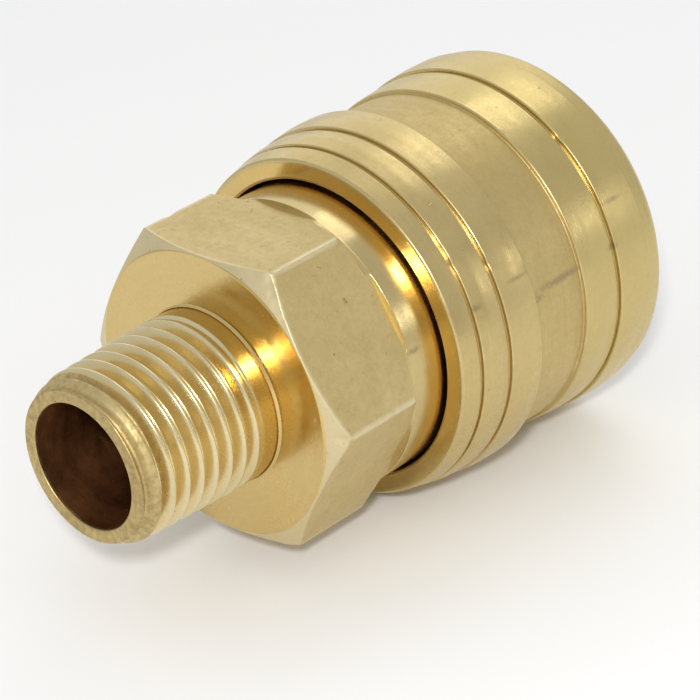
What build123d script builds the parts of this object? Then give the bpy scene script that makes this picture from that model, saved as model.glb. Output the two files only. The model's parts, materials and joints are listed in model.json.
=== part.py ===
from build123d import *
import os
from math import atan, degrees, radians, sqrt, tan

# Quick disconnect coupler, the half that takes the plug, in millimetres.
# +X runs along the coupler, from the end face of its pipe thread (x = 0) to the mouth.
# +Z is square to one flat of the hexagon.

# Pipe thread: R 1/4, 19 turns to the inch, taper 1 in 16 on the diameter
thread_pitch = 25.4 / 19
thread_gauge_radius = 13.157 / 2
thread_gauge_length = 4.7
thread_taper = 1 / 32                   # growth of the radius along the axis
thread_depth = 0.6403 * thread_pitch
thread_half_angle = 27.5
cutter_start = -2.0                     # the thread cutter runs in from outside the end face
cutter_end = 10.0
thread_runout = 10.6
thread_lead_in = 1.55                   # length of the chamfer at the end face
flow_radius = 4.8

# Hexagon, collar and shank of the adapter
hex_across_flats = 22.0
hex_start = 12.6
hex_end = 21.4
hex_chamfer_end = 21.0                  # where the rear chamfer has come down to the collar
hex_chamfer_angle = 29.0                # measured from the hexagon's end faces
shank_radius = 6.7
shank_fillet = 0.3
collar_radius = 11.45
collar_end = 26.5

# Inside of the adapter
guide_x = 14.0                          # shelf that the valve guide sits on
cavity_radius = 7.0                     # room for the valve spring
seal_shelf = 20.0
joint_radius = 9.2                      # screwed joint between the adapter and the socket body
joint_gap = 0.05

# Socket body
tail_start = 21.6
spring_zone_radius = 9.6
spring_zone_end = 34.0
socket_radius = 9.95
socket_end = 46.6
chamber_radius = 7.4                    # valve chamber
seat_x = 30.8
seat_radius = 5.0
seat_thickness = 1.2
nose_radius = 5.6                       # bore that takes the plug's nose
nose_floor = 36.6                       # where the nose bore meets the locking bore
lock_radius = 6.5                       # bore round the locking balls
mouth_start = 41.0
mouth_radius = 6.8                      # bore that guides the plug's body
mouth_lead_in = 0.8

# Seals in the nose bore
gland_start = 32.9
gland_end = 35.9
gland_radius = 7.4
seal_section = 0.95
seal_centre_radius = 6.4
backup_thickness = 1.0

# Locking balls
ball_count = 8
ball_radius = 2.0
ball_x = 38.6
ball_clearance = 0.1
ball_protrusion = 0.6                   # how far a locked ball stands into its bore

# Retaining ring
ring_x = 44.8
ring_thickness = 1.0
ring_inner = 9.2
ring_outer = 11.3
ring_gap = 0.05

# Sliding sleeve: outside. Each band is (start, end, radius at start, radius at end).
sleeve_start = 24.5
sleeve_end = 47.0
waist_radius = 13.5                     # plain waist, and the floor of the narrow grooves
edge_break = 0.15
sleeve_bands = [
    (24.5, 26.1, 13.3, 13.65),          # rear band
    (26.4, 28.8, 13.75, 13.95),         # rear grip ribs
    (29.1, 32.2, 14.1, 14.3),
    (37.9, 41.2, 13.8, 14.0),           # front grip ribs
    (41.5, 44.9, 14.2, 14.3),
]
front_round_radius = 14.2               # rounded front edge, from the last rib to the front face
front_face_radius = 13.4

# Sliding sleeve: inside
sleeve_bore = 11.75
spring_shoulder = 35.3
guide_radius = 10.1                     # slides on the socket body
release_start = 38.8                    # the balls are locked behind this point
release_angle = 25.0
release_radius = 11.1                   # room that the balls move out into
release_end = 43.3
front_guide_start = 43.6
front_shoulder = 44.7
front_bore = 11.6

# Valve
poppet_radius = 6.9
poppet_face = 30.0
poppet_back = 27.2
poppet_boss_radius = 4.8
poppet_boss_start = 24.8
poppet_stem_radius = 4.85
poppet_stem_end = 34.0
poppet_stem_bore = 3.4
window_radius = 1.3
window_count = 4
tail_rod_radius = 1.5
tail_rod_start = 13.8
guide_thickness = 2.0
guide_hub_radius = 3.0
guide_hub_length = 3.4
guide_bore = 1.58
guide_rim_width = 1.6
guide_spoke_width = 1.6
guide_spokes = 3

# Springs
valve_spring_radius = 5.5
valve_wire_radius = 0.45
valve_spring_turns = 5.5
sleeve_spring_radius = 10.7
sleeve_wire_radius = 0.5
sleeve_spring_turns = 4.5

# O-ring between the adapter and the socket body
body_seal_section = 0.8
body_seal_radius = 8.3

# Places that follow from the sizes above
ball_ring_radius = lock_radius - ball_protrusion + ball_radius
hex_corner_radius = hex_across_flats / sqrt(3)
hex_face_radius = hex_across_flats / 2 - 0.1
guide_end = guide_x + guide_thickness


def turned(*outline):
    """Solid of revolution about X through (x, radius) corners."""
    return revolve(make_face(Polyline(*outline, close=True)), Axis.X)


def tube(start, end, outer, inner=0.0):
    """Plain cylinder or tube along X."""
    return turned((start, inner), (start, outer), (end, outer), (end, inner))


def around(count, x, radius, first_angle=0.0):
    """Places spread evenly about X, each with its own Z pointing outward."""
    step = 360 / count
    return [Rot(X=first_angle + step * i) * Pos(x, 0, radius) for i in range(count)]


def coil_spring(start, end, mean_radius, wire_radius, turns):
    """Round-wire compression spring along X that reaches from start to end."""
    length = end - start - 2 * wire_radius
    path = Helix(length / turns, length, mean_radius, (start + wire_radius, 0, 0), (1, 0, 0))
    wire = Plane(path @ 0, z_dir=path % 0) * Circle(wire_radius)
    return sweep(wire, path, is_frenet=True)


def o_ring(centre, mean_radius, section_radius):
    """Round-section seal about X."""
    return revolve(Pos(centre, mean_radius) * Circle(section_radius), Axis.X)


def crest_radius(x):
    """Radius over the crests of the taper thread."""
    return thread_gauge_radius + (x - thread_gauge_length) * thread_taper


def thread_cutter():
    """Helical cutter that leaves the thread's turns standing."""
    lift = 0.1 * thread_depth           # the cutter stands a little above the crests
    reach = thread_depth + lift
    root_half = 0.1 * thread_pitch
    top_half = root_half + reach * tan(radians(thread_half_angle))
    root = crest_radius(cutter_start) - thread_depth
    path = Helix(thread_pitch, cutter_end - cutter_start, root, (cutter_start, 0, 0), (1, 0, 0),
                 cone_angle=degrees(atan(thread_taper)))
    first = path @ 0
    outward = Vector(0, first.Y, first.Z)
    section = Polyline((0, -root_half), (reach, -top_half), (reach, top_half), (0, root_half),
                       close=True)
    return sweep(Plane(first, x_dir=outward, z_dir=path % 0) * make_face(section), path,
                 is_frenet=True)


def hexagon():
    """Hexagonal stretch with both ends chamfered, flats facing up and down."""
    profile = RegularPolygon(hex_corner_radius, 6, rotation=90)
    prism = extrude(Plane(origin=(hex_start, 0, 0), x_dir=(0, 0, 1), z_dir=(1, 0, 0)) * profile,
                    hex_end - hex_start)
    reach = hex_corner_radius + 1
    rise = (reach - hex_face_radius) * tan(radians(hex_chamfer_angle))
    rear_rise = (reach - collar_radius) * tan(radians(hex_chamfer_angle))
    envelope = turned((hex_start, 0), (hex_start, hex_face_radius), (hex_start + rise, reach),
                      (hex_chamfer_end - rear_rise, reach), (hex_chamfer_end, collar_radius),
                      (hex_end, collar_radius), (hex_end, 0))
    return prism & envelope


def adapter():
    """Threaded end, hexagon and collar in one piece, bored through."""
    blank = turned(
        (0, 0), (0, crest_radius(0) - thread_depth + 0.2), (thread_lead_in, crest_radius(thread_lead_in)),
        (11.0, crest_radius(11.0)), (11.0, shank_radius), (hex_start - shank_fillet, shank_radius),
        (hex_start, shank_radius + shank_fillet), (hex_start, 0))
    threaded = blank - thread_cutter()
    collar = tube(hex_end, collar_end, collar_radius)
    bores = turned(
        (-1, 0), (-1, flow_radius), (guide_x, flow_radius), (guide_x, cavity_radius),
        (seal_shelf, cavity_radius), (seal_shelf, joint_radius), (collar_end + 1, joint_radius),
        (collar_end + 1, 0))
    return threaded + hexagon() + collar - bores


def socket_body():
    """Inner body: screwed tail, valve seat, seal gland, ball holes and mouth."""
    outside = turned(
        (tail_start, 0), (tail_start, joint_radius - joint_gap),
        (collar_end, joint_radius - joint_gap), (collar_end, spring_zone_radius),
        (spring_zone_end, spring_zone_radius), (spring_zone_end + 0.3, socket_radius),
        (socket_end - 0.3, socket_radius), (socket_end, socket_radius - 0.3), (socket_end, 0))
    inside = turned(
        (tail_start - 1, 0), (tail_start - 1, chamber_radius), (seat_x, chamber_radius),
        (seat_x, seat_radius), (seat_x + seat_thickness, seat_radius),
        (seat_x + seat_thickness, nose_radius), (nose_floor, nose_radius),
        (nose_floor, lock_radius), (mouth_start, lock_radius), (mouth_start, mouth_radius),
        (socket_end - mouth_lead_in, mouth_radius),
        (socket_end + 0.2, mouth_radius + mouth_lead_in + 0.2), (socket_end + 0.2, 0))
    gland = tube(gland_start, gland_end, gland_radius)
    ring_groove = tube(ring_x - ring_gap, ring_x + ring_thickness + ring_gap, socket_radius + 1,
                       ring_inner)
    body = outside - inside - gland - ring_groove
    hole_radius = ball_radius + ball_clearance
    for place in around(ball_count, ball_x, ball_ring_radius):
        hole = Cylinder(hole_radius, socket_radius, align=(Align.CENTER, Align.CENTER, Align.MIN))
        body -= place * (hole + Sphere(hole_radius))
    return body


def locking_ball(place):
    """One steel ball, locked, standing a little into the bore."""
    return place * Sphere(ball_radius)


def band(start, end, start_radius, end_radius):
    """Ring with both edges broken."""
    return turned((start, 0), (start, start_radius - edge_break), (start + edge_break, start_radius),
                  (end - edge_break, end_radius), (end, end_radius - edge_break), (end, 0))


def sleeve_outside():
    """Sleeve's outer form: bands and ribs on a plain core, and a rounded front edge."""
    core_start = sleeve_bands[0][1]
    round_start = sleeve_bands[-1][1]
    outside = tube(core_start, round_start, waist_radius)
    for sizes in sleeve_bands:
        outside += band(*sizes)
    bulge = ((round_start + sleeve_end) / 2 + 0.3, (front_round_radius + front_face_radius) / 2 + 0.2)
    front = [
        Polyline((sleeve_end, front_face_radius), (sleeve_end, 0), (round_start, 0),
                 (round_start, front_round_radius)),
        ThreePointArc((round_start, front_round_radius), bulge, (sleeve_end, front_face_radius)),
    ]
    return outside + revolve(make_face(front), Axis.X)


def sleeve():
    """Sliding sleeve with its spring shoulder, release recess and front guide."""
    release_ramp = release_start + (release_radius - guide_radius) / tan(radians(release_angle))
    inside = turned(
        (sleeve_start - 1, 0), (sleeve_start - 1, sleeve_bore), (spring_shoulder, sleeve_bore),
        (spring_shoulder, guide_radius), (release_start, guide_radius),
        (release_ramp, release_radius), (release_end, release_radius),
        (front_guide_start, guide_radius), (front_shoulder, guide_radius),
        (front_shoulder, front_bore), (sleeve_end + 1, front_bore), (sleeve_end + 1, 0))
    return sleeve_outside() - inside


def retaining_ring():
    """Split spring ring in the socket body's groove that stops the sleeve."""
    split = Pos(ring_x, 0, ring_outer) * Box(4 * ring_thickness, 2.4, 2 * ring_outer - 4)
    return tube(ring_x, ring_x + ring_thickness, ring_outer, ring_inner) - split


def valve_poppet():
    """Valve head with a hollow front stem, a spring boss and a guide rod behind."""
    solid = turned(
        (tail_rod_start, 0), (tail_rod_start, tail_rod_radius), (poppet_boss_start, tail_rod_radius),
        (poppet_boss_start, poppet_boss_radius), (poppet_back, poppet_boss_radius),
        (poppet_back, poppet_radius), (poppet_face, poppet_radius),
        (poppet_face, poppet_stem_radius), (poppet_stem_end, poppet_stem_radius),
        (poppet_stem_end, 0))
    solid -= tube(poppet_face, poppet_stem_end + 1, poppet_stem_bore)
    window_x = poppet_face + seat_thickness + 0.9
    for place in around(window_count, window_x, 0, 45):
        window = Cylinder(window_radius, poppet_stem_radius + 1,
                          align=(Align.CENTER, Align.CENTER, Align.MIN))
        solid -= place * window
    return solid


def valve_guide():
    """Spoked guide that centres the valve's rod and seats its spring."""
    rim = tube(guide_x, guide_end, cavity_radius - joint_gap,
               cavity_radius - joint_gap - guide_rim_width)
    hub = tube(guide_x, guide_x + guide_hub_length, guide_hub_radius, guide_bore)
    spoke_length = cavity_radius - guide_rim_width / 2 - guide_hub_radius + 0.6
    spoke_middle = guide_hub_radius + spoke_length / 2 - 0.3
    guide = rim + hub
    for place in around(guide_spokes, guide_x + guide_thickness / 2, spoke_middle):
        guide += place * Box(guide_thickness, guide_spoke_width, spoke_length)
    return guide


parts = {
    "adapter": adapter(),
    "socket_body": socket_body(),
    "sleeve": sleeve(),
    "sleeve_spring": coil_spring(collar_end, spring_shoulder, sleeve_spring_radius,
                                 sleeve_wire_radius, sleeve_spring_turns),
    "retaining_ring": retaining_ring(),
    "body_seal": o_ring((seal_shelf + tail_start) / 2, body_seal_radius, body_seal_section),
    "plug_seal": o_ring(gland_start + seal_section, seal_centre_radius, seal_section),
    "plug_backup_ring": tube(gland_end - backup_thickness, gland_end, gland_radius - joint_gap,
                             nose_radius + joint_gap),
    "valve_guide": valve_guide(),
    "valve_poppet": valve_poppet(),
    "valve_seal": tube(poppet_face, seat_x, poppet_radius - 0.3, poppet_stem_radius + joint_gap),
    "valve_spring": coil_spring(guide_end, poppet_back, valve_spring_radius, valve_wire_radius,
                                valve_spring_turns),
}
for number, place in enumerate(around(ball_count, ball_x, ball_ring_radius), start=1):
    parts[f"locking_ball_{number}"] = locking_ball(place)

for name, shape in parts.items():
    shape.label = name
    export_step(shape, f"parts/{name}.step")
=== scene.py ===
import json
import math

import bpy
import numpy as np
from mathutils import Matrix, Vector


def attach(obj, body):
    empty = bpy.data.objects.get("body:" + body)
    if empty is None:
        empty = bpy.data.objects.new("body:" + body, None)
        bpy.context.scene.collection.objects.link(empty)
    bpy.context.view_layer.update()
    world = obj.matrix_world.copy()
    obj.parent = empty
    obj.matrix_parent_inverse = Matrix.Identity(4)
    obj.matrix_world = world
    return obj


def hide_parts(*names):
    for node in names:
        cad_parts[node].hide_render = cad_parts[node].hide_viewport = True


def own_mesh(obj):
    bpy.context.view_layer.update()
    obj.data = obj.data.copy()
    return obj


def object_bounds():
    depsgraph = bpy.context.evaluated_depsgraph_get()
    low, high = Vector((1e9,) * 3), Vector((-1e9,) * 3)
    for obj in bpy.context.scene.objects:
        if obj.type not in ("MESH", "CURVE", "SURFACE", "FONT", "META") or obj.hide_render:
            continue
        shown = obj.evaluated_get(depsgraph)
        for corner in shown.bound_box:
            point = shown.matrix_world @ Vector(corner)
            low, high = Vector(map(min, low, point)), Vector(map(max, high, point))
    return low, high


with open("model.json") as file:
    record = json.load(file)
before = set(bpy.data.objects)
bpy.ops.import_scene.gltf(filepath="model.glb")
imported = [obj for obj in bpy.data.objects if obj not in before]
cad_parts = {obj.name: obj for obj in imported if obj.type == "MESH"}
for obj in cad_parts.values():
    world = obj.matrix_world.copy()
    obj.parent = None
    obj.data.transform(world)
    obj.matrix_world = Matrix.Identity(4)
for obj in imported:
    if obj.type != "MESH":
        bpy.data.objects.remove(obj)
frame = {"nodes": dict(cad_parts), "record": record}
cad_box = [list(corner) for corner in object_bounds()]

# Every size below is in millimetres unless it says otherwise, and MM turns it into metres.
# +X is the coupler's axis, from the thread's end face to the mouth.
MM = 0.001

# Thread: R 1/4, 19 turns to the inch, taper 1 in 16 on the diameter
PITCH = 25.4 / 19
TAPER = 1 / 32
GAUGE_RADIUS = 13.157 / 2
GAUGE_LENGTH = 4.7
CREST_ROUND = 0.1373 * PITCH
THREAD_DEPTH = 0.6403 * PITCH
FLANK_ANGLE = math.radians(27.5)
THREAD_FADE = (9.9, 11.1)
LEAD_IN = 1.55
ROOT_STEP = 0.2                 # the end face reaches this far above the thread's root
THREAD_SOFTNESS = 0.05
THREAD_PHASE = 1.05 - PITCH * 137.8 / 360    # a crest passes x = 1.05 at 137.8 degrees
THREAD_ROWS_PER_TURN = 22
FIRST_ROW, FIRST_ROW_RISE = 0.28, 0.15       # the end face's rounded edge runs towards the first row
CHAMFER_END = 1.9               # the rough, speckled lead-in reaches over the first crest
END_RADIUS = GAUGE_RADIUS - GAUGE_LENGTH * TAPER - THREAD_DEPTH + ROOT_STEP
FLOW_RADIUS = 4.8
BORE_SEAM = 0.9                 # the adapter's outline starts and ends here, inside the flow bore
BORE_ROUND = 0.1
SHANK_RADIUS = 6.7

# Hexagon and collar
HEX_START, HEX_END = 12.6, 21.4
HEX_CHAMFER_END = 21.0
ACROSS_FLATS = 22.0
HEX_CORNER_ROUND = 0.22
HEX_CHAMFER = math.radians(29)
HEX_FRONT_RADIUS = ACROSS_FLATS / 2 - 0.1    # the hexagon's flat front ends here and its chamfer starts
FOOT_BLEND, FOOT_LENGTH, FOOT_GAP = 0.06, 0.05, 0.03    # the hexagon's rear, where it meets the collar
SIXTH = math.radians(60)
CORNER_TANGENT = math.atan2(HEX_CORNER_ROUND / 2, ACROSS_FLATS / math.sqrt(3))
CORNER_COLUMNS = (0.2, 0.4, 0.6, 0.8, 1.0, 1.25)        # as shares of the angle CORNER_TANGENT
HEX_ROUNDS = [0, 0.12, 0.1, 0.1, 0.1, 0.05, 0.05, 0.2, 0]    # for the corners in hexagon_groups()

# Nicks: x, angle in degrees, size, depth
HEX_DENTS = [(13.5, 120.6, 0.32, 0.16), (13.15, 124.5, 0.2, 0.1), (13.0, 128.0, 0.22, 0.1),
             (14.3, 119.6, 0.25, 0.06), (13.4, 180.2, 0.35, 0.2), (17.9, 179.8, 0.3, 0.09),
             (13.5, 240.4, 0.3, 0.15), (16.1, 60.3, 0.4, 0.1), (13.3, 301.0, 0.3, 0.14),
             (19.6, 0.4, 0.35, 0.12), (20.2, 120.3, 0.25, 0.08), (13.42, 122.3, 0.2, 0.12),
             (13.05, 130.0, 0.2, 0.1), (12.93, 133.0, 0.2, 0.1)]

COLLAR_RADIUS = 11.45
COLLAR_END = 26.5
GUIDE_X, CAVITY_RADIUS = 14.0, 7.0
SEAL_SHELF, JOINT_RADIUS = 20.0, 9.2

# Sleeve
SLEEVE_START, SLEEVE_END = 24.5, 47.0
WAIST_RADIUS = 13.5
SLEEVE_BORE_RADIUS = 11.75
SPRING_STEP = 35.3              # the sleeve's spring pushes on this step
SLEEVE_SEAM = (34.9, 35.1)      # the sleeve's outline starts and ends here, in its bore
CROWN = 12.0                    # a round this large takes all the room it may, and bows a rib's top

# Springs
WIRE_STEPS_PER_TURN, WIRE_SIDES = 48, 14

# Dark marks along X: x, angle in degrees, radius, half length, half width
SLEEVE_SMEARS = [(35.7, 166.3, WAIST_RADIUS, 3.4, 0.42), (26.7, 160.3, 13.8, 0.9, 0.35),
                 (41.3, 165.1, 14.0, 0.7, 0.4), (33.0, 168.5, WAIST_RADIUS, 0.9, 0.35),
                 (31.0, 158.0, 14.2, 1.3, 0.25), (42.5, 152.0, 14.2, 1.4, 0.3),
                 (34.0, 30.0, WAIST_RADIUS, 1.6, 0.3), (39.5, 330.0, 13.9, 1.5, 0.3)]
COLLAR_SMEARS = [(22.0, 166.1, COLLAR_RADIUS, 0.9, 0.3), (22.6, 60.0, COLLAR_RADIUS, 0.8, 0.3)]

# Where a second colour takes over, from none of it to all of it
CREST_TONE = (0.05, 0.35)       # under the thread's crest
GAP_TONE = (22.4, 24.4)         # x on the collar
MOUTH_TONE = (32.0, 40.0)       # x on the sleeve
CHAMFER_WEAR = (0.3, 0.08)      # behind the edge of the hexagon's front chamfer
CORNER_WEAR = (12.5, 12.62)     # distance from the axis on the hexagon's corners

TURN = 2 * math.pi
TINY = 1e-9                     # keeps a division by a length from failing
ROW_GAP = 0.4
HOLDS = (0.04, 0.09, 0.16)      # rows held this far from each rounded edge
SIDE_SHARE = 0.3                # a rounded edge takes at most this share of a side

# Colours, as linear reflectance
PALE = (0.64, 0.515, 0.25, 1)
SATIN = (0.63, 0.495, 0.225, 1)
OLIVE = (0.58, 0.45, 0.195, 1)
DEEP = (0.46, 0.33, 0.14, 1)
# painted reflection: the saturated gold of brass mirrored in neighbouring brass
REFLECTED_GOLD = (0.71, 0.50, 0.18, 1)
# painted reflection: the gold of brass mirrored in brass, painted into the thread's roots
ROOT_REFLECTION_GOLD = (0.74, 0.59, 0.30, 1)
# painted reflection: the warm gold of the thread mirrored in the shank and the hexagon's front face
REFLECTION_WARM = (0.67, 0.505, 0.215, 1)
STRAW = (0.63, 0.51, 0.195, 1)
# painted shade for hollow edges and creases
CREASE_SHADE = (0.42, 0.27, 0.10, 1)
# the thread's pale crests: partly wear, partly a painted sheen
CREST_WEAR_AND_SHEEN = (0.79, 0.69, 0.44, 1)
SPECKLE = (0.30, 0.21, 0.10, 1)
PIT = (0.13, 0.08, 0.035, 1)
WORN = (0.85, 0.77, 0.55, 1)
SMEAR = (0.36, 0.27, 0.14, 1)
# painted shade: the insides of the bores are painted dark brown, where shade falls in them
BORE_SHADE_BROWN = (0.30, 0.13, 0.05, 1)
BORE_SHADE_DARK = (0.16, 0.06, 0.02, 1)
STEEL = (0.46, 0.45, 0.44, 1)
BALL_STEEL = (0.62, 0.62, 0.63, 1)
BLACK_RUBBER = (0.012, 0.012, 0.013, 1)
OFF_WHITE = (0.42, 0.41, 0.38, 1)
FLOOR_GREY = (0.93, 0.93, 0.93, 1)
FLOOR_WHITE = (0.96, 0.96, 0.96, 1)

# Scales of the materials' noises, in waves per metre: brass first, then steel, rubber and floor
LINE_SCALE, WIDE_LINE_SCALE = 6000, 750
CLOUD_SCALE, GRAIN_SCALE, BLOTCH_SCALE = 260.0, 5200.0, 1800.0
STAIN_SCALE, PIT_SCALE, RIPPLE_SCALE = 110.0, 1500.0, 700.0
STEEL_LINE_SCALE, STEEL_CLOUD_SCALE = 4000, 600.0
SOFT_GRAIN_SCALE = 2500.0
FLOOR_SCALE = 3.0
RIPPLE_DEPTH = 1.2e-5           # the brass's faint waves, in metres


# ---------------------------------------------------------------- mesh tools
def columns(extra=()):
    """Angles round the axis, one degree apart, with extra ones where an edge needs them."""
    angles = np.concatenate([np.radians(np.arange(0, 360, 1.0)), np.array(extra, float)])
    return np.unique(np.round(angles % TURN, 6))


def rounded(corners, rounds, steps=5):
    """Outline rows through corners, each corner turned into an arc: one group of rows for each corner.

    corners is (corner, column, 2) and rounds gives one radius for each corner. The first and last
    corners stay sharp. A radius shrinks where its two sides are too short for it. Rows just before and
    just after each arc keep the long sides' shading flat."""
    groups = [[corners[0]]]
    for i in range(1, len(corners) - 1):
        before, here, after = corners[i - 1], corners[i], corners[i + 1]
        back, ahead = before - here, after - here
        back_len = np.linalg.norm(back, axis=1, keepdims=True) + TINY
        ahead_len = np.linalg.norm(ahead, axis=1, keepdims=True) + TINY
        back, ahead = back / back_len, ahead / ahead_len
        half = np.arccos(np.clip((back * ahead).sum(1, keepdims=True), -1, 1)) / 2
        reach = np.minimum(rounds[i] / np.tan(half), SIDE_SHARE * np.minimum(back_len, ahead_len))
        radius = reach * np.tan(half)
        inward = back + ahead
        inward /= np.linalg.norm(inward, axis=1, keepdims=True) + TINY
        centre = here + inward * (radius / np.sin(half))
        start = here + back * reach - centre
        side = np.sign(start[:, :1] * ahead[:, 1:] - start[:, 1:] * ahead[:, :1])
        group = [here + back * (reach + np.minimum(hold, hold * back_len)) for hold in HOLDS[::-1]]
        for step in np.linspace(0, 1, steps):
            turn = (np.pi - 2 * half) * step * side
            c, s = np.cos(turn), np.sin(turn)
            group.append(centre + np.concatenate([start[:, :1] * c - start[:, 1:] * s,
                                                  start[:, :1] * s + start[:, 1:] * c], axis=1))
        group += [here + ahead * (reach + np.minimum(hold, hold * ahead_len)) for hold in HOLDS]
        groups.append(group)
    groups.append([corners[-1]])
    return groups


def joined(groups):
    """The rows of all groups in one list."""
    return [row for group in groups for row in group]


def filled(rows):
    """Rows with straight ones put in wherever two lie further apart than ROW_GAP."""
    full = [rows[0]]
    for after in rows[1:]:
        before = full[-1]
        steps = math.ceil(np.linalg.norm(after - before, axis=1).max() / ROW_GAP)
        full += [before + (after - before) * step / steps for step in range(1, steps)]
        full.append(after)
    return full


def turned_groups(points, angles, steps=5):
    """Groups of rows through corners (x, radius, round) that are the same all the way round.

    A corner without a round stays sharp."""
    corners = np.array([[p[:2]] * len(angles) for p in points], float)
    return rounded(corners, [p[2] if len(p) > 2 else 0 for p in points], steps)


def dented(rows, angles, dents):
    """Rows pushed in at small nicks, each (x, angle in degrees, size, depth)."""
    for x, angle, size, depth in dents:
        off = (angles - math.radians(angle) + math.pi) % TURN - math.pi
        for row in rows:
            away = ((row[:, 0] - x) ** 2 + (off * row[:, 1]) ** 2) / size ** 2
            row[:, 1] -= depth * np.exp(-away)
    return rows


def mesh_piece(name, strips, angles, body, node):
    """A closed piece whose outline rows run round X. strips lists (rows, material) in order."""
    outline = np.array([row for rows, _ in strips for row in rows])
    x, r = outline[..., 0], outline[..., 1]
    points = np.stack([x, r * np.cos(angles), r * np.sin(angles)], axis=-1) * MM
    n, m = x.shape
    row, column = np.arange(n)[:, None], np.arange(m)[None, :]
    next_row, next_column = (row + 1) % n, (column + 1) % m
    faces = np.stack([row * m + column, row * m + next_column, next_row * m + next_column,
                      next_row * m + column], axis=-1)
    mesh = bpy.data.meshes.new(name)
    mesh.from_pydata(points.reshape(-1, 3).tolist(), [], faces.reshape(-1, 4).tolist())
    mesh.shade_smooth()
    which = [i for i, (rows, _) in enumerate(strips) for _ in range(len(rows) * m)]
    mesh.polygons.foreach_set("material_index", which)
    for _, material in strips:
        mesh.materials.append(material)
    mesh.update()
    piece = bpy.data.objects.new(name, mesh)
    bpy.context.scene.collection.objects.link(piece)
    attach(piece, body)
    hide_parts(node)


# ---------------------------------------------------------------- materials
def metres(sizes):
    return [size * MM for size in sizes]


def lighter(colour, times):
    """colour times brighter, or darker where times is under 1."""
    return tuple(min(1.0, c * times) for c in colour[:3]) + (1,)


class Graph:
    """A material's nodes, added one by one."""

    def __init__(self, name):
        self.material = bpy.data.materials.new(name)
        self.material.use_nodes = True
        self.nodes = self.material.node_tree.nodes
        self.links = self.material.node_tree.links
        self.shader = self.nodes["Principled BSDF"]

    def put(self, value, socket):
        """Links value to socket where it is another node's output, and sets it where it isn't."""
        if isinstance(value, bpy.types.NodeSocket):
            self.links.new(value, socket)
        else:
            socket.default_value = value

    def add(self, kind, *values, settings=None, out=0, **named):
        """The output called out of a new node, its inputs given in order or by name."""
        node = self.nodes.new(kind)
        for key, value in (settings or {}).items():
            setattr(node, key, value)
        for socket, value in zip(node.inputs, values):
            if value is not None:
                self.put(value, socket)
        for key, value in named.items():
            self.put(value, node.inputs[key.replace("_", " ")])
        return node.outputs[out]

    def math(self, operation, a, b=0.0, c=0.0):
        return self.add("ShaderNodeMath", a, b, c, settings={"operation": operation})

    def noise(self, vector, scale, detail=4.0, roughness=0.55):
        return self.add("ShaderNodeTexNoise", Vector=vector, Scale=scale, Detail=detail,
                        Roughness=roughness)

    def spread(self, value, low, high, to_low=0.0, to_high=1.0):
        """value between low and high, spread over to_low to to_high."""
        return self.add("ShaderNodeMapRange", value, low, high, to_low, to_high)

    def blend(self, factor, a, b):
        """Colour a, turning into colour b as factor grows to 1."""
        node = self.nodes.new("ShaderNodeMix")
        node.data_type = "RGBA"
        for value, socket in ((factor, node.inputs[0]), (a, node.inputs[6]), (b, node.inputs[7])):
            self.put(value, socket)
        return node.outputs[2]

    def bump(self, height, distance, normal=None):
        """A normal that makes height look distance metres deep, on top of another normal."""
        node = self.nodes.new("ShaderNodeBump")
        self.put(height, node.inputs["Height"])
        node.inputs["Distance"].default_value = distance
        if normal is not None:
            self.put(normal, node.inputs["Normal"])
        return node.outputs[0]

    def set(self, **values):
        """Gives the shader's inputs their values, by name."""
        for key, value in values.items():
            self.put(value, self.shader.inputs[key.replace("_", " ")])


def around_axis(g):
    """Object coordinates, x and the distance from the axis in metres, and the turning lines'
    coordinates: distance along the outline first, then direction round the axis."""
    place = g.add("ShaderNodeTexCoord", out="Object")
    split = g.nodes.new("ShaderNodeSeparateXYZ")
    g.links.new(place, split.inputs[0])
    x, y, z = split.outputs
    r = g.math("SQRT", g.math("ADD", g.math("MULTIPLY", y, y), g.math("MULTIPLY", z, z)))
    lines = g.add("ShaderNodeCombineXYZ", g.math("MULTIPLY_ADD", r, 0.7, x),
                  g.math("DIVIDE", y, r), g.math("DIVIDE", z, r))
    return place, x, r, lines


def stretched(g, lines, per_metre, round_scale):
    """Turning lines: per_metre fine along the outline, round_scale coarse round the axis."""
    return g.add("ShaderNodeVectorMath", lines, (per_metre, round_scale, round_scale),
                 settings={"operation": "MULTIPLY"})


def under_crest(g, x, r):
    """0 on the thread's crests and 1 on its roots, where a painted golden reflection of the facing
    flanks takes over.
    """
    crest = g.math("MULTIPLY_ADD", x, TAPER, (GAUGE_RADIUS - GAUGE_LENGTH * TAPER) * MM)
    return g.spread(g.math("SUBTRACT", crest, r), *metres(CREST_TONE))


def near_gap(g, x, r):
    """Grows along the collar towards the gap behind the sleeve, where the collar is painted with the
    golden reflection of the sleeve's rear face.
    """
    return g.spread(x, *metres(GAP_TONE))


def near_hex_edge(g, x, r):
    """Grows at the hexagon's corners and along the edge of its front chamfer, where it is worn."""
    rise = math.tan(HEX_CHAMFER)
    behind = g.math("MULTIPLY_ADD", r, -rise, x)
    edge = (HEX_START - HEX_FRONT_RADIUS * rise) * MM
    none, full = metres(CHAMFER_WEAR)
    front = g.spread(behind, edge + none, edge + full, to_high=0.4)
    return g.math("MAXIMUM", g.spread(r, *metres(CORNER_WEAR), to_high=0.5), front)


def near_mouth(g, x, r):
    """Grows along the sleeve towards the mouth."""
    return g.spread(x, *metres(MOUTH_TONE), to_high=0.35)


def nowhere(g, x, r):
    """0 all over, for brass that has no second colour."""
    return 0.0


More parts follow.
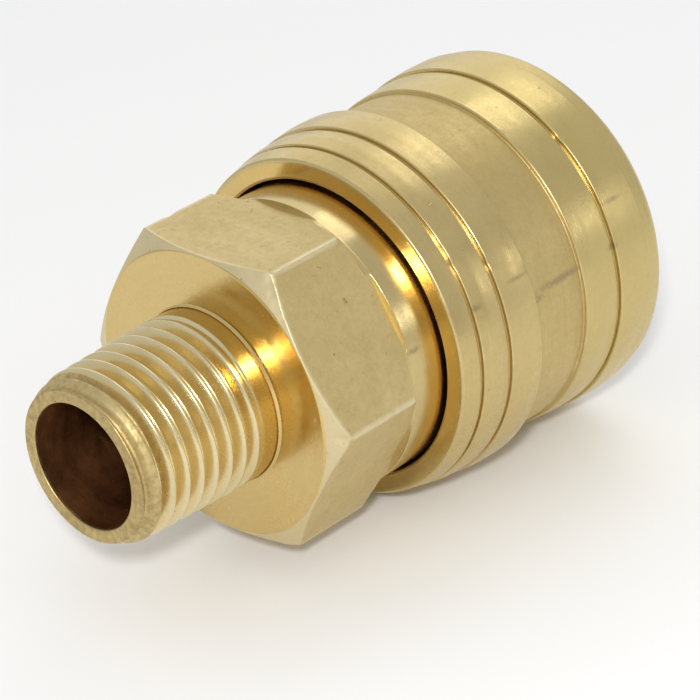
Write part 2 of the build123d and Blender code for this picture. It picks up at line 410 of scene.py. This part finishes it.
def smear_mask(g, place, blotches, x, angle, radius, half_length, half_width):
    """A soft, broken streak along X at a place given in millimetres and degrees."""
    turn = math.radians(angle)
    centre = Vector((x, radius * math.cos(turn), radius * math.sin(turn))) * MM
    off = g.add("ShaderNodeVectorMath", place, centre, settings={"operation": "SUBTRACT"})
    off = g.add("ShaderNodeVectorMath", off,
                (1 / half_length / MM, 1 / half_width / MM, 1 / half_width / MM),
                settings={"operation": "MULTIPLY"})
    away = g.add("ShaderNodeVectorMath", off, settings={"operation": "LENGTH"}, out="Value")
    return g.math("MULTIPLY", g.spread(away, 1.0, 0.3, to_high=0.75), g.spread(blotches, 0.3, 0.48))


def brass(name, colour, tarnish, rough=(0.2, 0.36), line_depth=6e-6, grain_depth=2e-6, marks=0.35,
          speckle=0.0, second=REFLECTED_GOLD, where=nowhere, edges=1.0, pitted=0.67, smears=()):
    """Machined brass: turning lines, cloudy polish, grain, tarnish, dark marks, worn edges and painted
    shade in hollows.

    rough is the roughness of its most and its least polished places. second is a colour that takes
    over where the given function grows to 1, edges is how much sharp edges are worn bright and hollow
    ones darkened with painted shade, and a higher pitted gives fewer pits, which show as dark as marks."""
    g = Graph(name)
    place, x, r, lines = around_axis(g)
    turning = g.noise(stretched(g, lines, LINE_SCALE, 0.7), 1.0, 3.0, 0.7)
    wide_turning = g.noise(stretched(g, lines, WIDE_LINE_SCALE, 1.5), 1.0, 2.0, 0.6)
    clouds = g.noise(place, CLOUD_SCALE, 5.0, 0.6)
    grain = g.noise(place, GRAIN_SCALE, 3.0, 0.7)
    blotches = g.noise(place, BLOTCH_SCALE, 5.0, 0.7)
    stain = g.spread(g.noise(place, STAIN_SCALE, 6.0, 0.65), 0.42, 0.68)
    pits = g.spread(g.noise(place, PIT_SCALE, 6.0, 0.75), pitted, pitted + 0.06)
    ripple = g.noise(place, RIPPLE_SCALE, 3.0, 0.5)
    edge = g.add("ShaderNodeNewGeometry", out="Pointiness")
    worn = g.spread(edge, 0.51, 0.56)
    hollow = g.spread(edge, 0.495, 0.44)

    tone = g.blend(stain, colour, tarnish)
    tone = g.blend(g.spread(clouds, 0.35, 0.7, to_high=0.35), tone, lighter(colour, 1.12))
    tone = g.blend(g.math("MULTIPLY", g.spread(turning, 0.3, 0.7), 0.14), tone, lighter(colour, 0.72))
    tone = g.blend(g.math("MULTIPLY", g.spread(grain, 0.45, 0.7), 0.16), tone, lighter(colour, 0.66))
    tone = g.blend(g.math("MULTIPLY", g.spread(blotches, 0.4, 0.62), speckle), tone, SPECKLE)
    tone = g.blend(where(g, x, r), tone, second)
    # painted shade: hollow edges and creases darkened
    tone = g.blend(g.math("MULTIPLY", hollow, 0.35 * edges), tone, CREASE_SHADE)
    tone = g.blend(g.math("MULTIPLY", pits, marks), tone, PIT)
    tone = g.blend(g.math("MULTIPLY", worn, 0.5 * edges), tone, WORN)
    for smear in smears:
        tone = g.blend(smear_mask(g, place, blotches, *smear), tone, SMEAR)

    roughness = g.spread(clouds, 0.3, 0.7, *rough)
    roughness = g.math("MULTIPLY_ADD", g.spread(grain, 0.3, 0.7), 0.08, roughness)
    roughness = g.math("ADD", g.spread(wide_turning, 0.35, 0.65, -0.05, 0.05), roughness)
    roughness = g.math("MULTIPLY_ADD", pits, 0.3, roughness)
    roughness = g.math("MULTIPLY_ADD", g.spread(blotches, 0.4, 0.62), speckle * 0.4, roughness)

    normal = g.bump(g.math("MULTIPLY_ADD", wide_turning, 1.4, turning), line_depth)
    normal = g.bump(grain, grain_depth, normal=normal)
    normal = g.bump(ripple, RIPPLE_DEPTH, normal=normal)
    normal = g.bump(blotches, 2e-5 * speckle + 1e-6, normal=normal)
    normal = g.bump(g.math("MULTIPLY", pits, -1.0), 2.5e-5, normal=normal)
    g.set(Base_Color=tone, Roughness=roughness, Normal=normal, Metallic=1.0)
    return g.material


turned_brass = brass("brass_turned", PALE, OLIVE, edges=0.3)
face_brass = brass("brass_end_face", OLIVE, DEEP, rough=(0.26, 0.4), line_depth=9e-6, speckle=0.5,
                   edges=0.0)
chamfer_brass = brass("brass_lead_in", PALE, OLIVE, rough=(0.34, 0.5), grain_depth=8e-6,
                      speckle=0.4, edges=0.0)
# The thread is painted pale on its crests and golden in its roots: painted sheen and painted
# reflection.
thread_brass = brass("brass_thread", CREST_WEAR_AND_SHEEN, PALE, rough=(0.16, 0.26), line_depth=2e-6,
                     grain_depth=5e-7, second=ROOT_REFLECTION_GOLD, where=under_crest, edges=0.0)
# The shank and the hexagon's front face are painted warm gold: a painted reflection of the thread.
shoulder_brass = brass("brass_shoulder", REFLECTION_WARM, REFLECTED_GOLD, rough=(0.15, 0.24), line_depth=3e-6,
                       marks=0.15, edges=0.0)
flat_brass = brass("brass_flats", PALE, OLIVE, rough=(0.34, 0.5), line_depth=1e-6, grain_depth=7e-6,
                   marks=0.6, speckle=0.12, second=WORN, where=near_hex_edge, edges=0.0, pitted=0.635)
# The collar turns golden towards the gap: a painted reflection of the sleeve's rear face.
collar_brass = brass("brass_collar", PALE, OLIVE, rough=(0.14, 0.22), line_depth=2e-6,
                     grain_depth=4e-7, marks=0.2, where=near_gap, edges=0.0, smears=COLLAR_SMEARS)
# The sleeve's rear face is painted golden: a painted reflection of the collar.
rear_brass = brass("brass_rear_face", REFLECTED_GOLD, OLIVE, rough=(0.12, 0.2), line_depth=3e-6,
                   grain_depth=1e-6)
sleeve_brass = brass("brass_sleeve", SATIN, OLIVE, rough=(0.19, 0.33), line_depth=8e-6,
                     marks=0.5, speckle=0.08, second=STRAW, where=near_mouth, edges=0.4,
                     smears=SLEEVE_SMEARS)
chamfer_back_brass = brass("brass_rear_chamfer", PALE, OLIVE, rough=(0.3, 0.42), edges=0.0)
waist_brass = brass("brass_waist", OLIVE, SATIN, rough=(0.4, 0.5), line_depth=6e-6, marks=0.5,
                    speckle=0.1, edges=0.6, smears=SLEEVE_SMEARS)
# The bores are painted dark brown: painted shade in the deep insides.
bore_shade_brass = brass("brass_bore_shade", BORE_SHADE_BROWN, BORE_SHADE_DARK, rough=(0.4, 0.6), marks=0.2, edges=0.0)


# ---------------------------------------------------------------- adapter
def crest_radius(x):
    """Distance of the thread's crests from the axis at x."""
    return GAUGE_RADIUS + (x - GAUGE_LENGTH) * TAPER


def thread_drop(phase):
    """How far the thread's form lies under its crest, phase being 0 on a crest and 1 on the next."""
    t = np.abs((phase + 0.5) % 1 - 0.5) * PITCH
    arc_end = CREST_ROUND * math.cos(FLANK_ANGLE)
    arc_drop = CREST_ROUND * (1 - math.sin(FLANK_ANGLE))
    near_crest = CREST_ROUND - np.sqrt(np.maximum(CREST_ROUND ** 2 - t ** 2, 0))
    from_root = PITCH / 2 - t
    near_root = THREAD_DEPTH - CREST_ROUND + np.sqrt(np.maximum(CREST_ROUND ** 2 - from_root ** 2, 0))
    flank = arc_drop + (t - arc_end) / math.tan(FLANK_ANGLE)
    return np.where(t < arc_end, near_crest, np.where(from_root < arc_end, near_root, flank))


def flat_radius(angles):
    """Radius of the hexagon's sides with its corners rounded, corners on +Y and every 60 degrees."""
    from_corner = np.abs((angles + SIXTH / 2) % SIXTH - SIXTH / 2)
    side = ACROSS_FLATS / 2 / np.cos(SIXTH / 2 - from_corner)
    centre = (ACROSS_FLATS / 2 - HEX_CORNER_ROUND) / math.cos(SIXTH / 2)
    under = np.maximum(HEX_CORNER_ROUND ** 2 - (centre * np.sin(from_corner)) ** 2, 0)
    arc = centre * np.cos(from_corner) + np.sqrt(under)
    return np.where(from_corner < CORNER_TANGENT, arc, side)


def thread_rows(angles, start, end):
    """Outline rows of the thread from start to end, cut by the lead-in cone, fading into the shank."""
    cone = (THREAD_DEPTH - ROOT_STEP + LEAD_IN * TAPER) / LEAD_IN
    rows = []
    for x in np.arange(start, end, PITCH / THREAD_ROWS_PER_TURN):
        phase = (x - THREAD_PHASE) / PITCH - angles / TURN
        kept = np.clip((THREAD_FADE[1] - x) / (THREAD_FADE[1] - THREAD_FADE[0]), 0, 1)
        r = crest_radius(x) - thread_drop(phase) * kept
        r = np.minimum(r, crest_radius(x) * kept + (1 - kept) * SHANK_RADIUS)
        cut = END_RADIUS + x * cone
        r = -THREAD_SOFTNESS * np.logaddexp(-r / THREAD_SOFTNESS, -cut / THREAD_SOFTNESS)
        rows.append(np.stack([np.full_like(angles, x), r], axis=1))
    return rows


def hexagon_groups(angles):
    """Outline groups from the shank over the hexagon to the collar's end and back down to its bore."""
    side = flat_radius(angles)
    rise = math.tan(HEX_CHAMFER)
    under = np.clip((COLLAR_RADIUS - side) / FOOT_BLEND, 0, 1)
    front_x = HEX_START + (side - HEX_FRONT_RADIUS) * rise
    foot_x = HEX_CHAMFER_END + (HEX_END - HEX_CHAMFER_END) * under
    foot_r = np.minimum(side, COLLAR_RADIUS)
    back_x = foot_x - FOOT_LENGTH - np.maximum(side - COLLAR_RADIUS, 0) * rise

    def corner(x, r):
        return np.stack([x + 0 * angles, r + 0 * angles], axis=1)

    corners = [corner(THREAD_FADE[1], SHANK_RADIUS), corner(HEX_START, SHANK_RADIUS),
               corner(HEX_START, HEX_FRONT_RADIUS), corner(front_x, side), corner(back_x, side),
               corner(foot_x, foot_r), corner(HEX_END + FOOT_GAP, COLLAR_RADIUS),
               corner(COLLAR_END, COLLAR_RADIUS), corner(COLLAR_END, JOINT_RADIUS)]
    return rounded(np.array(corners), HEX_ROUNDS, steps=6)


def build_adapter():
    """The adapter: end face, thread, hexagon and collar outside, and its stepped bore inside."""
    at_corners = [math.radians(60 * k) + side * share * CORNER_TANGENT
                  for k in range(6) for share in CORNER_COLUMNS for side in (-1, 1)]
    angles = columns(at_corners)
    face = turned_groups([(BORE_SEAM, FLOW_RADIUS), (0.0, FLOW_RADIUS, 0.12), (0.0, END_RADIUS, 0.14),
                          (FIRST_ROW, END_RADIUS + FIRST_ROW_RISE)], angles)
    chamfer = thread_rows(angles, FIRST_ROW, CHAMFER_END)
    thread = thread_rows(angles, CHAMFER_END, THREAD_FADE[1])
    groups = hexagon_groups(angles)
    front = filled(joined(groups[:2]) + groups[2][:-1])
    flats = dented(filled(groups[2][-1:] + groups[3] + groups[4][:1]), angles, HEX_DENTS)
    rear = dented(joined([groups[4][1:], groups[5]]), angles, HEX_DENTS)
    inside = joined(turned_groups([
        (COLLAR_END, JOINT_RADIUS), (SEAL_SHELF, JOINT_RADIUS, BORE_ROUND),
        (SEAL_SHELF, CAVITY_RADIUS, BORE_ROUND), (GUIDE_X, CAVITY_RADIUS, BORE_ROUND),
        (GUIDE_X, FLOW_RADIUS, BORE_ROUND), (BORE_SEAM, FLOW_RADIUS)], angles)[1:-1])
    strips = [(face[0], bore_shade_brass), (joined(face[1:3]), face_brass), (chamfer, chamfer_brass),
              (thread, thread_brass), (front, shoulder_brass), (flats, flat_brass),
              (rear, chamfer_back_brass), (joined(groups[6:]), collar_brass), (inside, bore_shade_brass)]
    mesh_piece("adapter_body", strips, angles, "body", "adapter")


build_adapter()


# ---------------------------------------------------------------- sleeve
# Outline corners: x, radius, round
REAR_RIBS = [
    (SLEEVE_START, 13.3, 0.22), (26.1, 13.62, 0.12), (26.16, 13.42, 0.04), (26.4, 13.42, 0.04),
    (26.42, 13.72, 0.14), (27.6, 13.93, CROWN), (28.8, 13.93, 0.14), (28.84, 13.78, 0.05),
    (29.06, 13.78, 0.05), (29.1, 14.1, 0.16), (30.7, 14.28, CROWN), (32.2, 14.26, 0.2),
]
WAIST = [(32.3, WAIST_RADIUS, 0.12), (37.82, WAIST_RADIUS, 0.12)]
FRONT_RIBS = [
    (37.9, 13.8, 0.14), (39.6, 13.96, CROWN), (41.2, 13.98, 0.14), (41.24, 13.84, 0.05),
    (41.46, 13.84, 0.05), (41.5, 14.18, 0.16), (43.2, 14.3, CROWN), (44.85, 14.27, 0.1),
    (44.95, 14.13, 0.08), (46.2, 14.0, 2.2), (SLEEVE_END, 13.3, 0.35),
]
SLEEVE_INSIDE = [
    (SLEEVE_END, 11.6, 0.12), (44.7, 11.6, 0.08), (44.7, 10.1, 0.12), (43.6, 10.1, 0.1),
    (43.3, 11.1, 0.1), (40.94, 11.1, 0.3), (38.8, 10.1, 0.3), (SPRING_STEP, 10.1, 0.1),
    (SPRING_STEP, SLEEVE_BORE_RADIUS, 0.1),
]

# Nicks and shallow dents: x, angle in degrees, size, depth
SLEEVE_DENTS = [(26.3, 138.0, 0.3, 0.06), (26.45, 146.0, 0.35, 0.1), (29.1, 150.5, 0.25, 0.09),
                (32.2, 157.0, 0.3, 0.1), (41.5, 128.0, 0.3, 0.09), (37.9, 118.0, 0.2, 0.05),
                (30.2, 136.0, 0.5, 0.03), (31.3, 139.5, 0.55, 0.035), (30.0, 141.5, 0.5, 0.03),
                (27.2, 137.5, 0.5, 0.03), (27.9, 141.5, 0.55, 0.03), (28.2, 133.5, 0.5, 0.02),
                (30.9, 131.0, 0.5, 0.025), (27.5, 129.5, 0.5, 0.02), (31.6, 134.0, 0.4, 0.03),
                (44.9, 100.0, 0.25, 0.08), (28.8, 40.0, 0.3, 0.09), (41.2, 20.0, 0.3, 0.08),
                (26.3, 300.0, 0.3, 0.08), (32.2, 320.0, 0.3, 0.09), (46.3, 10.0, 0.35, 0.08),
                (44.9, 250.0, 0.3, 0.08)]


def build_sleeve():
    """The sleeve: rear face, ribs and waist outside, and its stepped bore inside."""
    angles = columns()
    outline = ([(SLEEVE_SEAM[0], SLEEVE_BORE_RADIUS), (SLEEVE_START, SLEEVE_BORE_RADIUS, 0.12)]
               + REAR_RIBS + WAIST + FRONT_RIBS + SLEEVE_INSIDE
               + [(SLEEVE_SEAM[1], SLEEVE_BORE_RADIUS)])
    groups = turned_groups(outline, angles, steps=6)
    strips = [(groups[0], bore_shade_brass), (groups[1], rear_brass)]
    start = len(strips)
    for corners, material in ((REAR_RIBS, sleeve_brass), (WAIST, waist_brass),
                              (FRONT_RIBS, sleeve_brass)):
        end = start + len(corners)
        strips.append((dented(filled(joined(groups[start:end])), angles, SLEEVE_DENTS), material))
        start = end
    strips.append((joined(groups[start:]), turned_brass))
    mesh_piece("sleeve_shell", strips, angles, "sleeve", "sleeve")


build_sleeve()


# ---------------------------------------------------------------- the other pieces' materials
def metal(name, colour, rough):
    """Ground or drawn steel: fine lines round the axis and a cloudy polish."""
    g = Graph(name)
    place, _, _, lines = around_axis(g)
    turning = g.noise(stretched(g, lines, STEEL_LINE_SCALE, 1.0), 1.0, 3.0, 0.6)
    clouds = g.noise(place, STEEL_CLOUD_SCALE, 4.0, 0.6)
    g.set(Base_Color=g.blend(g.spread(clouds, 0.4, 0.7), colour, lighter(colour, 0.82)),
          Roughness=g.spread(clouds, 0.3, 0.7, *rough), Normal=g.bump(turning, 3e-6), Metallic=1.0)
    return g.material


def soft(name, colour, rough):
    """Rubber or PTFE: fine grain in its colour and its surface."""
    g = Graph(name)
    place = g.add("ShaderNodeTexCoord", out="Object")
    grain = g.noise(place, SOFT_GRAIN_SCALE, 4.0, 0.6)
    g.set(Base_Color=g.blend(g.spread(grain, 0.35, 0.7), colour, lighter(colour, 1.9)),
          Roughness=g.spread(grain, 0.3, 0.7, *rough), Normal=g.bump(grain, 6e-6))
    return g.material


spring_steel = metal("spring_steel", STEEL, (0.2, 0.4))
finishes = {
    "brass_fitting": turned_brass,
    "brass_sleeve": sleeve_brass,
    "spring_steel": spring_steel,
    "ball_steel": metal("ball_steel", BALL_STEEL, (0.05, 0.14)),
    "nitrile": soft("nitrile", BLACK_RUBBER, (0.35, 0.6)),
    "ptfe": soft("ptfe", OFF_WHITE, (0.4, 0.6)),
}
for part in frame["record"]["subparts"]:
    node = frame["nodes"][part["node"]]
    node.data.materials.clear()
    node.data.materials.append(finishes[part["material_slot"]])


# ---------------------------------------------------------------- springs
def build_spring(name, node, body, start, end, mean_radius, wire_radius, turns):
    """A round-wire spring laid from start to end, fixed to its body."""
    steps, sides = int(turns * WIRE_STEPS_PER_TURN), WIRE_SIDES
    climb = end - start - 2 * wire_radius
    along = np.linspace(0, 1, steps + 1)[:, None]
    turn = along * turns * TURN
    round_wire = np.linspace(0, TURN, sides, endpoint=False)[None, :]
    lean = climb / (turns * TURN * mean_radius)
    outward = wire_radius * np.cos(round_wire)
    x = start + wire_radius + along * climb + wire_radius * np.sin(round_wire)
    around = turn - wire_radius * np.sin(round_wire) * lean / mean_radius
    radius = mean_radius + outward
    points = np.stack([x + 0 * around, radius * np.cos(around), radius * np.sin(around)], axis=-1) * MM
    row, column = np.arange(steps)[:, None], np.arange(sides)[None, :]
    next_column = (column + 1) % sides
    faces = np.stack([row * sides + column, (row + 1) * sides + column,
                      (row + 1) * sides + next_column, row * sides + next_column], axis=-1)
    caps = [list(range(sides)), list(range(steps * sides, (steps + 1) * sides))[::-1]]
    mesh = bpy.data.meshes.new(name)
    mesh.from_pydata(points.reshape(-1, 3).tolist(), [], faces.reshape(-1, 4).tolist() + caps)
    mesh.shade_smooth()
    mesh.materials.append(spring_steel)
    spring = bpy.data.objects.new(name, mesh)
    bpy.context.scene.collection.objects.link(spring)
    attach(spring, body)
    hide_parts(node)
    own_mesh(spring)


build_spring("sleeve_spring_coils", "sleeve_spring", "sleeve_turn", start=COLLAR_END,
             end=SPRING_STEP, mean_radius=10.7, wire_radius=0.49, turns=4.5)
build_spring("valve_spring_coils", "valve_spring", "body", start=16.0,
             end=27.2, mean_radius=5.5, wire_radius=0.44, turns=5.5)


# ---------------------------------------------------------------- camera, floor and light
CAMERA_PLACE = (-116.7, -144.1, 106.0)
CAMERA_TARGET = (23.5, -3.3, -0.3)
CAMERA_ROLL = math.radians(-4.87)
CAMERA_LENS = 159.6
CAMERA_CLIP_START = 10.0
COUPLER_MIDDLE = (23.5, 0, 0)
FLOOR_GAP = 0.05
FLOOR_HALF_WIDTH = 3000.0
WORLD_STRENGTH = 0.68


def look(obj, target, roll=0.0):
    """Turns obj so that its -Z points at target, then rolls it about that line."""
    obj.rotation_euler = (Vector(target) - obj.location).to_track_quat("-Z", "Y").to_euler()
    obj.rotation_euler.rotate_axis("Z", roll)


def add_camera():
    camera = bpy.data.objects.new("camera", bpy.data.cameras.new("camera"))
    camera.location = Vector(CAMERA_PLACE) * MM
    look(camera, Vector(CAMERA_TARGET) * MM, CAMERA_ROLL)
    camera.data.lens = CAMERA_LENS
    camera.data.clip_start = CAMERA_CLIP_START * MM
    bpy.context.scene.collection.objects.link(camera)
    bpy.context.scene.camera = camera


def add_floor():
    """Pale floor just under the coupler, wide enough to fill the picture."""
    floor_z = cad_box[0][2] - FLOOR_GAP * MM
    half = FLOOR_HALF_WIDTH * MM
    mesh = bpy.data.meshes.new("floor")
    mesh.from_pydata([(-half, -half, floor_z), (half, -half, floor_z), (half, half, floor_z),
                      (-half, half, floor_z)], [], [(0, 1, 2, 3)])
    floor = bpy.data.objects.new("floor", mesh)
    g = Graph("floor")
    place = g.add("ShaderNodeTexCoord", out="Object")
    g.set(Base_Color=g.blend(g.noise(place, FLOOR_SCALE), FLOOR_GREY, FLOOR_WHITE),
          Roughness=0.9)
    mesh.materials.append(g.material)
    bpy.context.scene.collection.objects.link(floor)


def add_light(name, direction, distance, size, watts):
    """Square soft light that looks at the coupler's middle. Its distance and size are in metres."""
    middle = Vector(COUPLER_MIDDLE) * MM
    data = bpy.data.lights.new(name, "AREA")
    data.size = size
    data.energy = watts
    light = bpy.data.objects.new(name, data)
    light.location = middle + Vector(direction).normalized() * distance
    look(light, middle)
    bpy.context.scene.collection.objects.link(light)


def add_world():
    """Even white light from all round."""
    world = bpy.data.worlds.new("studio")
    world.use_nodes = True
    background = world.node_tree.nodes["Background"]
    background.inputs["Color"].default_value = (1.0, 1.0, 1.0, 1)
    background.inputs["Strength"].default_value = WORLD_STRENGTH
    bpy.context.scene.world = world


add_camera()
add_floor()
add_world()
add_light("overhead", direction=(0.57, 0.14, 0.77), distance=0.4, size=0.17, watts=0.095)
add_light("side", direction=(0.62, -0.75, 0.22), distance=0.4, size=0.06, watts=0.03)
add_light("back", direction=(0.62, 0.62, 0.47), distance=0.4, size=0.35, watts=0.17)
add_light("flash", direction=(-0.60, -0.58, 0.55), distance=0.3, size=0.022, watts=0.46)
bpy.context.scene.view_settings.view_transform = "Standard"
